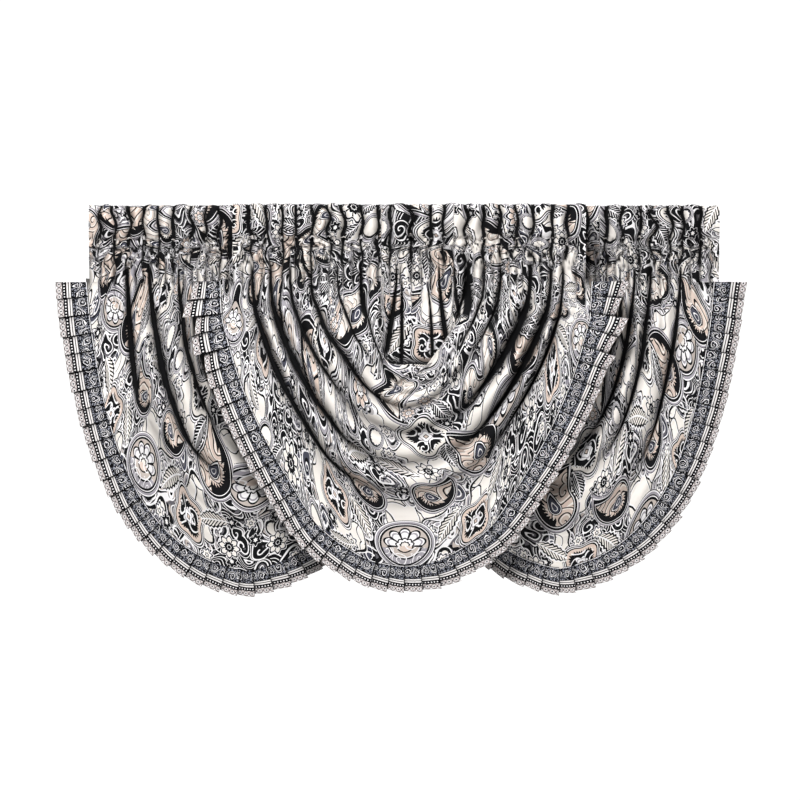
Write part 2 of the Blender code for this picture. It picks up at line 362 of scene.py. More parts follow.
def polyline_distance(x, z, pts):
    """Distance to a line through the points, and the share along it, 0 to 1."""
    pts = np.array(pts, float)
    px, pz = at_x(pts[:, 0]), at_z(pts[:, 1])
    # A smooth line through the points.
    if len(pts) > 2:
        k = np.arange(len(pts))
        kk = np.linspace(0, len(pts) - 1, 8 * len(pts))
        px, pz = through(k, px, kk), through(k, pz, kk)
    best = np.full(x.shape, 1e9)
    share = np.zeros(x.shape)
    run = np.concatenate([[0], np.cumsum(np.hypot(np.diff(px), np.diff(pz)))])
    for i in range(len(px) - 1):
        ax, az, bx, bz = px[i], pz[i], px[i + 1], pz[i + 1]
        l2 = (bx - ax) ** 2 + (bz - az) ** 2 + 1e-12
        w = np.clip(((x - ax) * (bx - ax) + (z - az) * (bz - az)) / l2, 0, 1)
        d = np.hypot(x - ax - w * (bx - ax), z - az - w * (bz - az))
        closer = d < best
        best = np.where(closer, d, best)
        share = np.where(closer, (run[i] + w * (run[i + 1] - run[i])) / run[-1], share)
    return best, share


def slot_profile(d, spacing, gap, sharp, half_span):
    """How deep a fold's valley is at the distance d from its bottom, 0 to 1."""
    soft = np.where(d < half_span, 0.5 + 0.5 * np.cos(np.pi * d / half_span), 0.0) ** 1.5
    a1 = np.minimum(0.62 * gap, 0.2 * spacing)
    a2 = a1 + np.minimum(0.0022 + 0.9 * gap, 0.17 * spacing)
    wall = 1 - 0.46 * ease((d - a1) / (a2 - a1))
    arch = 0.54 * np.clip(1 - (d - a2) / np.maximum(half_span - a2, 1e-6), 0, 1) ** 2
    hard = np.where(d < a2, wall, arch)
    return sharp * hard + (1 - sharp) * soft


def gather_height(x, knots, full=0.90):
    """The rounded rolls between a heading's gathers: 1 on a roll, 0 where it meets
    the next, and a small flat slot there. knots may change from row to row, and
    full, how much of its place each roll fills, from roll to roll."""
    phase = np.interp(x, knots, np.arange(len(knots)))
    k = np.floor(phase).astype(int)
    u = phase - k
    wide = np.append(full, full[-1])[k] if np.ndim(full) else full
    c = np.clip(np.abs(2 * u - 1) / wide, 0, 1)
    return 1 - c**2.1


def sliced(x, knots, seed):
    """How far the print is moved along the cloth on each roll between two gathers,
    for the cloth that is tucked in between them."""
    r = np.random.RandomState(seed)
    hidden = (r.rand(len(knots)) - 0.5) * 0.110
    phase = np.interp(x, knots, np.arange(len(knots)))
    k = np.clip(np.floor(phase).astype(int), 0, len(knots) - 2)
    u = phase - k
    return hidden[k] + (hidden[k + 1] - hidden[k]) * ease((u - 0.93) / 0.07)


def build_swag(side, v, hem, materials):
    ns, per_roll, n_panel = (261, 21, 22) if side == "middle" else (251, 30, 16)
    s = np.linspace(-1, 1, ns)
    q = 1 - np.abs(s)
    rows = np.array(v["valleys"])
    count = len(rows)
    share, half, drop = hem.unit
    half0, drop0 = through(share, half, q), through(share, drop, q, True)
    left_side = s < 0
    cx, cz = [], []
    for j in range(count):
        vee = rows[j, 3] * (0.25 + 0.75 * ease(q / 0.9)) * np.where(left_side, 1, 0.55)
        hx = (1 - vee) * half0 + vee * (1 - q)
        dz = (1 - vee) * drop0 + vee * q
        lean = 0.0
        if j == 0 and side == "middle":
            hx, dz = 1 - np.clip((q - 0.45) / 0.55, 0, 1) ** 1.25, ease(q / 0.62)
            lean = 0.006 * ease(q / 0.6)
        elif j == 1 and side == "middle":
            lean = -0.014 * ease((q - 0.3) / 0.7)
        wobble = 0.0022 * waves(s * 2.2 + j * 1.7, 40 + j + v["seed"]) * ease(q / 0.2)
        cx.append(v["middle"] + np.where(left_side, -rows[j, 0], rows[j, 1]) * hx
                  + wobble + lean)
        cz.append(SEAM_Z - rows[j, 2] * dz + wobble * 0.8)
    ex, ez = hem.at(s, hem.width(s) - 0.003)
    cx.append(ex)
    cz.append(ez)
    cx, cz = np.array(cx), np.array(cz)
    side_d = np.where(left_side, rows[:, 5:6], rows[:, 6:7])
    gap = np.where(left_side, rows[:, 8:9], rows[:, 9:10])
    fade = np.where(left_side, rows[:, 10:11], rows[:, 11:12])
    at_side = rows[:, 4:5] + (side_d - rows[:, 4:5]) * ease(q / 0.24)
    depth = at_side + (rows[:, 7:8] - at_side) * ease((q - fade + 0.22) / 0.36)
    sharp = 1 - ease((q - fade + 0.16) / 0.30)
    gap = gap * (0.40 + 0.60 * ease(q / 0.32)) * (1 - 0.7 * ease((q - fade + 0.5) / 0.5))
    for j in range(count):
        gap[j] = gap[j] * (1 + 0.35 * waves(s * 7.0, 300 + 10 * v["seed"] + j))

    points, painted_shade, plain = [], [], []
    # The cowl's panel: from the seam down behind the cowl's edge, and up to it.
    y_edge = front(v, s, 0.0) + depth[0]
    for t in np.concatenate([np.linspace(0, 1, n_panel), 1 + np.linspace(0, 1, 9)[1:-1]]):
        tuck = 0.007 + 0.010 * ease(q / 0.4)
        y_back = v["y"] + lap(v, s) + 0.011 - 0.009 * ease(q / 0.25)
        low = cz[0] - tuck
        if t <= 1:
            z = SEAM_Z + (low - SEAM_Z) * t
            y = y_back + 0 * z
        else:
            turn = t - 1
            z = low + tuck * turn**2 - 0.004 * np.sin(np.pi * turn)
            y = y_back + (y_edge - y_back) * ease(turn)
        points.append(np.stack([cx[0], y, z], axis=1))
        plain.append(points[-1])
        # Painted shadow: the panel is near-black behind the cowl's edge and for about a centimetre above it.
        over_edge = np.maximum(z - cz[0], 0) if t <= 1 else 0 * cz[0]
        painted_shade.append(0.97 * ease((0.019 - over_edge) / 0.012) * ease(q / 0.06))
    start = len(points)
    a = np.linspace(0, 1, per_roll + 1)
    u_in = 0.5 - 0.5 * np.cos(np.pi * a)
    u_last = 1 - np.cos(0.5 * np.pi * np.linspace(0, 1, per_roll + 10))
    for j in range(count):
        last = j == count - 1
        us = u_last if last else u_in[:-1]
        spacing = np.hypot(cx[j + 1] - cx[j], cz[j + 1] - cz[j])
        for u in us:
            x = cx[j] + (cx[j + 1] - cx[j]) * u
            z = cz[j] + (cz[j + 1] - cz[j]) * u
            span = spacing * (0.62 if last else 0.5)
            own = slot_profile(u * spacing, spacing, gap[j], sharp[j], span)
            behind = depth[j] * own
            # Painted shade: the bottom of each sharp valley is made near-black.
            dark = sharp[j] * ease((own - 0.69) / 0.14) * np.minimum(1, depth[j] / 0.012)
            if j == 0:
                dark = dark * 0
            if not last:
                own = slot_profile(
                    (1 - u) * spacing, spacing, gap[j + 1], sharp[j + 1], span
                )
                behind = behind + depth[j + 1] * own
                dark = np.maximum(
                    dark,
                    sharp[j + 1] * ease((own - 0.69) / 0.14)
                    * np.minimum(1, depth[j + 1] / 0.012),
                )
            y = front(v, s, (j + u) / count)
            # Each roll stands a little more or less proud, and sags in its middle.
            roll = 0.004 * np.sin(np.pi * u) * waves(s * 1.4 + 3.1 * j, 90 + j)
            y = y + behind - roll * ease(q / 0.2)
            plain.append(np.stack([x, y - behind, z], axis=1))
            points.append(np.stack([x, y, z], axis=1))
            # Painted shade: the deeper a place lies in a fold, the darker it is made.
            shade = 0.72 * np.clip(behind / 0.028, 0, 1) ** 1.15
            painted_shade.append(np.maximum(dark, shade if j or u > 0.5 else shade * 2 * u))
    p, base, dark = np.array(points), np.array(plain), np.array(painted_shade)
    nt = len(p)

    # Flat coordinates: along the folds from the middle, and down across them.
    mid = np.argmin(np.abs(s))
    step = np.hypot(np.diff(base[:, :, 0], axis=1), np.diff(base[:, :, 2], axis=1))
    run = np.concatenate([np.zeros((nt, 1)), np.cumsum(step, axis=1)], axis=1)
    flat_u = run - run[:, mid : mid + 1]
    step = np.linalg.norm(np.diff(p, axis=0), axis=2)
    run = np.concatenate([np.zeros((1, ns)), np.cumsum(step, axis=0)], axis=0)
    flat_v = run - run[start : start + 1]
    kernel = np.hanning(31) / np.hanning(31).sum()
    flat_v = np.array(
        [np.convolve(np.pad(r, 15, mode="edge"), kernel, mode="valid") for r in flat_v]
    )

    x, z = p[:, :, 0], p[:, :, 2]
    below = SEAM_Z - z
    # Soft folds across the cloth, long in the direction of the U-shaped ones.
    fold = waves2(flat_v / 0.040 + 0.6 * waves(s * 1.7, 5 + v["seed"]),
                  flat_u / 0.30, 11 + v["seed"])
    p[:, :, 1] += 0.0014 * fold * ease(below / 0.02)
    fine = waves2(flat_v / 0.014 + 0.9 * waves(s * 2.9, 6 + v["seed"]),
                  flat_u / 0.11, 17 + v["seed"])
    p[:, :, 1] += 0.0005 * fine * ease(below / 0.02)
    big = waves2(x / 0.16, z / 0.16, 23 + v["seed"])
    p[:, :, 1] += 0.0025 * big * ease(below / 0.10)

    # Small gathers where the cloth meets the heading.
    knots = fine_knots(side)
    fall = np.clip(below, 0, 1)
    lift = gather_height(x + 0.003 * (waves(z / 0.05, 31) - waves(SEAM_Z / 0.05, 31)),
                         knots)
    reach = 0.030 * (1 + 0.5 * waves(x / 0.05, 33))
    p[:, :, 1] += 0.0085 * (1 - lift) * np.exp(-fall / reach)
    # Painted shade between the small gathers, near-black where they meet, fading down the swag.
    dark = np.maximum(dark, 0.45 * (1 - lift) ** 1.5 * np.exp(-fall / reach))
    dark = np.maximum(dark, 0.85 * ease((0.20 - lift) / 0.18) * np.exp(-fall / (0.7 * reach)))

    for pts, deep, wide, slot in CREASES[side]:
        d, along = polyline_distance(x, z, pts)
        upright = side == "middle" and pts[0][1] <= 286 and 390 < pts[0][0] < 450
        if upright:
            ends = ease((1 - along) / 0.08)
            w = wide * PX * (0.40 + 0.60 * ease(along / 0.6))
        else:
            ends = ease(1 - np.maximum(0, along - 0.55) / 0.45)
            w = wide * PX * (0.42 + 0.58 * np.sin(np.pi * np.clip(along, 0, 1)) ** 0.8)
        soft = np.exp(-((d / w) ** 2) * 1.3)
        hard = 1 - ease((d - 0.35 * w) / (0.9 * w))
        shape = slot * hard + (1 - slot) * soft
        row = np.arange(nt)[:, None]
        if upright:
            on = ease((start - 5 - row) / 4)  # in the cowl's panel alone
        else:
            on = ease((row - start) / 8)
        p[:, :, 1] += deep * shape * ends * on
        # Painted shade along the creases' slots.
        dark = np.maximum(dark, ease((slot - 0.15) / 0.6) * ease((hard - 0.50) / 0.32)
                          * ease(ends / 0.5) * on)

    # The print drifts sideways from fold to fold, and comes back for the lowest.
    away = 1 - ease((flat_v - flat_v.max() + 0.42) / 0.24)
    flat_u = flat_u + away * (v["aside"] + 0.022 * waves(flat_v / 0.13, 51 + v["seed"]))
    flat = np.stack([flat_u + v["shift"][0], flat_v + v["shift"][1]], axis=2)
    moved = sliced(x + 0.003 * (waves(z / 0.05, 31) - waves(SEAM_Z / 0.05, 31)), knots,
                   v["seed"]) * np.exp(-((fall / 0.050) ** 2))
    panel = np.arange(nt)[:, None] < start
    flat[:, :, 0] += np.where(panel, moved, 0)
    flat[:, :, 1] += np.where(panel, 0, moved * np.sign(s)[None, :])
    obj = grid_piece(f"cloth_swag_{side}", p, flat, materials, painted_shade=dark,
                     corner=motif_corners)
    # The swag's top edge, from left to right, which the heading is sewn to: its
    # place, its painted shade, the print there without its slices, and which way the
    # print runs upwards and to the right.
    flat[:, :, 0] -= np.where(panel, moved, 0)
    flat[:, :, 1] -= np.where(panel, 0, moved * np.sign(s)[None, :])
    edge = lambda a: np.concatenate([a[start:, 0][::-1], a[0], a[start:, -1]])
    n_end, n_top = nt - start, ns
    up = np.repeat([(-1.0, 0.0), (0.0, -1.0), (1.0, 0.0)], (n_end, n_top, n_end), axis=0)
    right = np.repeat([(0.0, -1.0), (1.0, 0.0), (0.0, 1.0)], (n_end, n_top, n_end), axis=0)
    table = np.column_stack([edge(p)[:, :2], edge(dark), edge(flat), up, right])
    return obj, p, table[np.argsort(table[:, 0], kind="stable")]


def fine_knots(side):
    """The gathers under the stitch line: the pocket's and one or two between,
    moved to where the swag's folds begin."""
    v = VALANCES[side]
    rows = np.array(v["valleys"])
    first = 3 if side == "middle" else 2
    folds = np.concatenate([v["middle"] - rows[first:, 0], v["middle"] + rows[first:, 1]])
    wide = at_x(GATHERS[side])
    wide = np.array([x for x in wide if np.abs(folds - x).min() > 0.012])
    wide = np.sort(np.concatenate([wide, folds]))
    r = np.random.RandomState(len(wide))
    out = [wide[0]]
    for a, b in zip(wide[:-1], wide[1:]):
        if b - a > 0.028:
            out.append(a + (b - a) * (0.42 + 0.16 * r.rand()))
        out.append(b)
    out = np.array(out)
    return np.concatenate([[out[0] - 0.4, out[0] - 0.2], out, [out[-1] + 0.2, out[-1] + 0.4]])


# ---- headings ----------------------------------------------------------------------
HEADING_PATH = np.array([
    # depth,  rise,   gather, narrow
    (-0.0010, SEAM_Z, 0.0105, 1.0),
    (-0.0045, -0.1500, 0.0130, 1.0),
    (-0.0060, -0.1200, 0.0150, 0.9),
    (-0.0065, -0.0950, 0.0150, 0.7),
    (-0.0070, STITCH_Z, 0.0130, 0.40),
    (-0.0130, -0.0700, 0.0160, 0.10),
    (-0.0175, -0.0540, 0.0185, 0.0),
    (-0.0190, -0.0380, 0.0195, 0.0),
    (-0.0180, -0.0200, 0.0185, 0.0),
    (-0.0135, -0.0060, 0.0105, 0.0),
    (0.0010, -0.0002, 0.0024, 0.0),
    (0.0130, -0.0060, 0.0060, 0.0),
    (0.0210, -0.0200, 0.0080, 0.0),
    (0.0230, -0.0380, 0.0080, 0.0),
    (0.0200, -0.0560, 0.0070, 0.0),
    (0.0130, -0.0700, 0.0050, 0.2),
    (0.0060, -0.0795, 0.0030, 0.6),
])


def build_heading(side, v, top, materials):
    nx = 501 if side == "middle" else 431
    parts = (48, 14)
    x0, x1 = v["head"]
    x = np.linspace(x0, x1, nx)
    path = HEADING_PATH
    k = np.arange(len(path))
    kk = np.concatenate([np.linspace(0, 10, parts[0]),
                         np.linspace(10, len(path) - 1, parts[1] + 1)[1:]])
    nz = len(kk)
    y, z, deep, narrow = (through(k, path[:, c], kk) for c in range(4))
    # The outward direction, square to the path.
    ty, tz = np.gradient(y, kk), np.gradient(z, kk)
    size = np.hypot(ty, tz)
    ny, nz_ = -tz / size, ty / size
    run = np.concatenate([[0], np.cumsum(np.hypot(np.diff(y), np.diff(z)))])
    wide = at_x(GATHERS[side])
    wide = np.concatenate([[wide[0] - 0.03], wide, [wide[-1] + 0.03]])
    wide[1], wide[-2] = wide[1] - 0.006, wide[-2] + 0.006
    small = fine_knots(side)
    seam = [np.interp(x, top[:, 0], top[:, c]) for c in range(1, 9)]
    seam_y, seam_dark = seam[0], seam[1]
    seam_flat, up, right = (np.stack(seam[c : c + 2], axis=1) for c in (2, 4, 6))
    r = np.random.RandomState(5 + v["seed"])
    drift = {n: r.randn(n, 3) for n in (len(wide), len(small))}
    proud = r.rand(len(wide))  # some rolls stand out further than others
    full = 0.72 + 0.56 * r.rand(len(wide))

    def on_rolls(now, knots, seed):
        """The print of each roll: the seam's, at the roll's own middle."""
        k = np.clip(np.searchsorted(now, x) - 1, 0, len(now) - 2)
        u = (x - now[k]) / (now[k + 1] - now[k])
        mid = 0.5 * (knots[:-1] + knots[1:])
        base = np.stack([np.interp(mid, x, seam_flat[:, c]) for c in (0, 1)], axis=1)
        way = np.stack([np.interp(mid, x, right[:, c]) for c in (0, 1)], axis=1)
        hidden = (np.random.RandomState(seed).rand(len(knots)) - 0.5) * 0.110
        k2 = np.minimum(k + 1, len(mid) - 1)
        here = base[k] + (hidden[k] + 1.15 * (x - 0.5 * (now[k] + now[k + 1])))[:, None] * way[k]
        after = base[k2] + (hidden[k + 1] - 0.575 * (now[k + 1] - now[k]))[:, None] * way[k2]
        return here + (after - here) * ease((u - 0.93) / 0.07)[:, None]

    def filled(knots, zz, mean):
        d = drift[len(knots)]
        swing = 0.045 * np.sin(zz / 0.016 + 6 * d[:, 2]) + 0.035 * np.clip(d[:, 1], -1, 1)
        return np.clip(mean + swing, 0.78, 0.985)

    def moved(knots, zz, amount):
        d = drift[len(knots)]
        shift = amount * (
            d[:, 0] * np.sin(zz / 0.011 + 6 * d[:, 1])
            + 0.8 * d[:, 2] * np.sin(zz / 0.021 + 5 * d[:, 0])
        )
        shift[[0, 1, -2, -1]] = 0
        limit = 0.0100 * float(ease((zz - SEAM_Z) / 0.020))
        return np.sort(knots + np.clip(shift, -limit, limit))

    edge = ease((x - x0) / 0.012) * ease((x1 - x) / 0.012)
    rows, dark, flat = [], [], []
    for i in range(nz):
        k_wide, k_small = moved(wide, z[i], 0.0030), moved(small, z[i], 0.0062)
        g_wide = gather_height(x, k_wide, filled(wide, z[i], 0.93))
        g_small = gather_height(x, k_small, filled(small, z[i], 0.91) if kk[i] > 0.5 else 0.90)
        n = narrow[i]
        g = (1 - n) * g_wide + n * (0.30 * g_wide + 0.70 * g_small)
        uneven = 1 + 0.30 * waves(x / 0.05, 61) * (0.4 + 0.6 * n)
        which = np.clip(np.searchsorted(k_wide, x) - 1, 0, len(wide) - 1)
        uneven = uneven * (n + (1 - n) * full[which])
        d = deep[i] * uneven * (1 - g) - 0.0045 * (1 - n) * (proud[which] - 0.5) * g
        front_face = ny[i] < 0 and kk[i] < 10
        at = np.full(nx, z[i])
        # Puckers at the stitches, and creases that cross the gathers under them.
        pucker = 0.0022 * math.exp(-abs(z[i] - STITCH_Z) / 0.010) * waves2(
            x / 0.0085, at / 0.02, 71)
        crease = np.abs(waves2(x / 0.0215 + 1.3 * waves(at / 0.030, 72), at / 0.034, 73))
        crease = ease(n / 0.7) * (1 - ease(crease / 0.50)) * ease((z[i] - SEAM_Z) / 0.016)
        groove = 0.0018 * math.exp(-(((z[i] - STITCH_Z) / 0.0030) ** 2)) * (kk[i] < 6)
        out = -d * edge + (pucker - 0.0060 * crease - groove)
        sway = 0.0016 * waves(x / 0.22, 81) * (1 if abs(ny[i]) > 0.5 else 0.5)
        deep_y = v["y"] + y[i] + ny[i] * out + sway
        # Towards the seam it takes on the swag's own folds.
        sewn = float(ease((-0.105 - z[i]) / 0.065)) if kk[i] < 4 else 0.0
        deep_y = deep_y + sewn * (seam_y - 0.0004 - deep_y)
        rise = z[i] - 0.0008 * (i == 0) + (1 - sewn) * (nz_[i] * out + 0.0022 * waves(x / 0.045, 83) * math.exp(
            -(((z[i] - STITCH_Z) / 0.012) ** 2)))
        rows.append(np.stack([x, deep_y, rise], axis=1))
        # Painted shade: near-black slots between the rolls, darker towards each roll's sides, weaker on the
        # pocket's back.
        slot = ease((0.31 - g) / 0.08) * edge
        shade = 0.42 * edge * np.clip(1 - g, 0, 1) ** 1.3 * (1 if front_face else 0.5)
        tone = np.maximum(shade, slot * (1.0 if front_face else 0.6))
        # Painted shade in the creases under the stitch line and at its pinch.
        if kk[i] < 6:
            tone = np.maximum(tone, 0.97 * ease((crease - 0.62) / 0.26))
            pinch = math.exp(-(((z[i] - STITCH_Z - 0.006) / 0.008) ** 2))
            tone = np.maximum(tone, 0.95 * pinch * ease((0.55 - g) / 0.25) * edge)
        # Near the seam it takes on the swag's painted shade.
        dark.append(tone + float(ease((sewn - 0.30) / 0.45)) * (seam_dark - tone))
        # The print runs on from the swag's, in slices.
        own = float(ease((n - 0.62) / 0.2))
        f = own * on_rolls(k_small, small, v["seed"]) + (1 - own) * on_rolls(
            k_wide, wide, v["seed"] + 40)
        close = float(ease((SEAM_Z + 0.016 - z[i]) / 0.016)) if kk[i] < 4 else 0.0
        at_seam = seam_flat + sliced(x, k_small, v["seed"])[:, None] * right
        flat.append(f + close * (at_seam - f) + run[i] * up)
    p = np.array(rows)
    obj = grid_piece(f"cloth_heading_{side}", p, np.array(flat), materials,
                     painted_shade=np.array(dark), corner=motif_corners)
    return obj, p


# ---- knife-pleated borders ----------------------------------------------------------
def build_border(side, v, hem, materials):
    pleats = round(hem.length / 0.0410)
    r = np.random.RandomState(100 + v["seed"])
    # One pleat: the face, the fold back under it, and the fold forward again.
    face = np.array([0, 0.03, 0.08, 0.16, 0.28, 0.42, 0.56, 0.70, 0.82, 0.91, 0.97, 1.0])
    p_one = np.concatenate([face, [0.975, 0.86, 0.72], [0.72, 0.86, 0.98]])
    h_face = face**1.15
    h_face[-1] -= 0.05
    h_one = np.concatenate([h_face, [0.62, 0.46, 0.32], [0.14, 0.06, 0.01]])
    turn = np.concatenate([face, [1.03, 1.15, 1.28], [1.34, 1.47, 1.6]])
    jitter = r.rand(pleats + 1) * 0.16 - 0.08
    jitter[[0, -1]] = 0
    knots = (np.arange(pleats + 1) + jitter) / pleats
    lift = 0.92 + 0.4 * r.rand(pleats)
    flare = r.rand(pleats) * 2 - 1
    tone = r.rand(pleats)
    share, rise, frac, which, cloth = [], [], [], [], []
    for k in range(pleats):
        share += list(knots[k] + (knots[k + 1] - knots[k]) * p_one)
        rise += list(h_one)
        frac += list(np.where(np.arange(len(p_one)) < len(face), p_one, 0.0))
        which += [k] * len(p_one)
        cloth += list((k * 1.62 + turn) * hem.length / pleats)
    share, rise, frac, which, cloth = map(
        np.array, (share + [1.0], rise + [0.0], frac + [0.0], which + [pleats - 1],
                   cloth + [pleats * 1.62 * hem.length / pleats]))
    s = 2 * share - 1
    q = 1 - np.abs(s)
    n_w = 15
    w = np.linspace(0, 1, n_w)
    rows, dark, extra = [], [], []
    ends = ease((0.30 - q) / 0.20) * (1 if side == "middle" else 0)
    loose = 1 + 1.2 * ends
    jut = (r.rand(pleats) * 1.2 + 0.4) * np.where(np.arange(pleats) % 2, 1.0, -0.7)
    width = hem.width(s)
    stand = 0.0038
    for wi in w:
        # A pleat opens towards its free edge, and its leading end steps out.
        low = ease((q - 0.35) / 0.30)
        step = ((0.0026 + 0.0030 * low) * (frac - 0.5) + 0.0024 * (tone[which] - 0.5)) * wi
        step = step + ends * (0.0088 * jut[which] + 0.0105 * (frac - 0.5)) * wi
        x, z = hem.at(s, width * (1 - wi) - step)
        wave = flare[which] * 0.0026 * wi**1.5 * loose
        swing = np.sin(np.pi * np.clip(frac, 0, 1)) * 0.0012 * wi * lift[which]
        y = front(v, s, 1.0) - stand * rise * lift[which] * (0.85 + 0.35 * wi * loose)
        y = y - wave - swing - 0.0004 - 0.007 * ends * np.maximum(jut[which], 0) * wi
        # The free edge curls a little towards the room.
        y = y - 0.0022 * wi**3 * (0.6 + 0.4 * lift[which])
        z = np.minimum(z, SEAM_Z - 0.0004)
        rows.append(np.stack([x, y, z], axis=1))
        # Painted shade: folded-under parts near-black, a dark line and softer shade at each pleat's leading
        # end, plus a little random tone per pleat.
        under = (np.arange(len(s)) % len(p_one)) >= len(face)
        shade = np.maximum(0.97 * (1 - ease((frac - 0.02) / (0.085 + 0.12 * ends * wi))),
                           0.24 * (1 - ease(frac / 0.40)) + 0.06 * tone[which])
        dark.append(np.where(under, 1.0, shade))
        extra.append(np.stack([frac, r.rand() * 0 + (which * 0.618) % 1.0,
                               np.full(len(s), wi)], axis=1))
    p = np.array(rows)
    flat = np.stack(np.broadcast_arrays(cloth[None, :], (1 - w[:, None]) * 0.070), axis=2)
    obj = grid_piece(f"cloth_border_{side}", p, flat, materials, thickness=0.0004,
                     painted_shade=np.array(dark), extra=np.array(extra))
    return obj, p


# ---- materials -----------------------------------------------------------------------
CREAM = (0.88, 0.835, 0.79)
PALE = (0.90, 0.88, 0.89)
GREY = (0.15, 0.143, 0.158)
TAUPE = (0.27, 0.23, 0.205)
SLATE = (0.085, 0.088, 0.12)
BLACK = (0.006, 0.006, 0.008)
LILAC = (0.41, 0.39, 0.425)
ASH = (0.52, 0.495, 0.50)
SAND = (0.58, 0.515, 0.475)
PEACH = (0.72, 0.60, 0.53)
PINK = (0.78, 0.715, 0.705)
BONE = (0.84, 0.81, 0.80)
STEEL = (0.300, 0.308, 0.355)
SOOT = (0.07, 0.06, 0.065)


class Val:
    """A socket of a material's nodes, which adds and multiplies like a number."""

    def __init__(self, made, socket):
        self.made, self.socket = made, socket

    def __add__(self, o):
        return self.made.m("ADD", self, o)

    def __radd__(self, o):
        return self.made.m("ADD", o, self)

    def __sub__(self, o):
        return self.made.m("SUBTRACT", self, o)

    def __rsub__(self, o):
        return self.made.m("SUBTRACT", o, self)

    def __mul__(self, o):
        return self.made.m("MULTIPLY", self, o)

    __rmul__ = __mul__

    def __truediv__(self, o):
        return self.made.m("DIVIDE", self, o)

    def __lt__(self, o):
        return self.made.m("LESS_THAN", self, o)

    def __gt__(self, o):
        return self.made.m("GREATER_THAN", self, o)


class Cloth:
    """A material of nodes, built up by small steps."""

    def __init__(self, name):
        self.mat = bpy.data.materials.new(name)
        self.mat.use_nodes = True
        self.nodes, self.links = self.mat.node_tree.nodes, self.mat.node_tree.links
        self.bsdf = self.nodes["Principled BSDF"]

    def put(self, socket, value):
        if isinstance(value, Val):
            self.links.new(value.socket, socket)
        elif isinstance(value, tuple) and len(value) == 3 and socket.type == "RGBA":
            socket.default_value = (*value, 1.0)
        else:
            socket.default_value = value

    def m(self, operation, *args, clamp=False):
        n = self.nodes.new("ShaderNodeMath")
        n.operation, n.use_clamp = operation, clamp
        for k, a in enumerate(args):
            self.put(n.inputs[k], a)
        return Val(self, n.outputs[0])

    def v(self, operation, *args, out="Vector"):
        n = self.nodes.new("ShaderNodeVectorMath")
        n.operation = operation
        for k, a in enumerate(args):
            self.put(n.inputs["Scale"] if operation == "SCALE" and k == 1
                     else n.inputs[k], a)
        return Val(self, n.outputs[out])

    def attribute(self, name, out="Vector"):
        n = self.nodes.new("ShaderNodeAttribute")
        n.attribute_name = name
        return Val(self, n.outputs[out])

    def split(self, vector):
        n = self.nodes.new("ShaderNodeSeparateXYZ")
        self.put(n.inputs[0], vector)
        return tuple(Val(self, n.outputs[k]) for k in range(3))

    def join(self, x, y, z=0.0):
        n = self.nodes.new("ShaderNodeCombineXYZ")
        for k, a in enumerate((x, y, z)):
            self.put(n.inputs[k], a)
        return Val(self, n.outputs[0])

    def noise(self, vector, scale, detail=0.0, out=0, rough=0.5):
        n = self.nodes.new("ShaderNodeTexNoise")
        n.noise_dimensions = "2D"
        self.put(n.inputs["Vector"], vector)
        n.inputs["Scale"].default_value = scale
        n.inputs["Detail"].default_value = detail
        n.inputs["Roughness"].default_value = rough
        return Val(self, n.outputs[out])

    def cells(self, vector, randomness=0.9, feature="F1"):
        n = self.nodes.new("ShaderNodeTexVoronoi")
        n.voronoi_dimensions = "2D"
        n.feature = feature
        self.put(n.inputs["Vector"], vector)
        n.inputs["Scale"].default_value = 1.0
        n.inputs["Randomness"].default_value = randomness
        if feature != "F1":
            return Val(self, n.outputs["Distance"])
        return (Val(self, n.outputs["Distance"]), Val(self, n.outputs["Color"]),
                Val(self, n.outputs["Position"]))

    def grey(self, colour):
        n = self.nodes.new("ShaderNodeRGBToBW")
        self.put(n.inputs[0], colour)
        return Val(self, n.outputs[0])

    def weave(self, place, pitch):
        """The fine threads of the cloth, as bump."""
        x, y, _ = self.split(place)
        warp = self.m("SINE", x * (2 * math.pi / pitch))
        weft = self.m("SINE", (y + x * 0.5) * (2 * math.pi / pitch))
        uneven = self.noise(place, 0.8, 1.0)
        n = self.nodes.new("ShaderNodeBump")
        n.inputs["Strength"].default_value = 0.35
        n.inputs["Distance"].default_value = 0.0003
        self.put(n.inputs["Height"], warp * 0.25 + weft * 0.4 + uneven)
        self.links.new(n.outputs["Normal"], self.bsdf.inputs["Normal"])

    def near(self, x, centre, reach):
        return self.m("COMPARE", x, centre, reach)

    def fract(self, x):
        return self.m("FRACT", x)

    def over(self, under, mask, colour):
        n = self.nodes.new("ShaderNodeMix")
        n.data_type = "RGBA"
        self.put(n.inputs["Factor"], mask)
        self.put(n.inputs["A"], under)
        self.put(n.inputs["B"], colour)
        return Val(self, n.outputs["Result"])

    def steps(self, x, stops):
        """Plain bands of colour: stops are (from, colour)."""
        n = self.nodes.new("ShaderNodeValToRGB")
        ramp = n.color_ramp
        ramp.interpolation = "CONSTANT"
        while len(ramp.elements) < len(stops):
            ramp.elements.new(1.0)
        for e, (at, colour) in zip(ramp.elements, stops):
            e.position = at
            e.color = (*colour, 1)
        self.put(n.inputs[0], x)
        return Val(self, n.outputs[0])


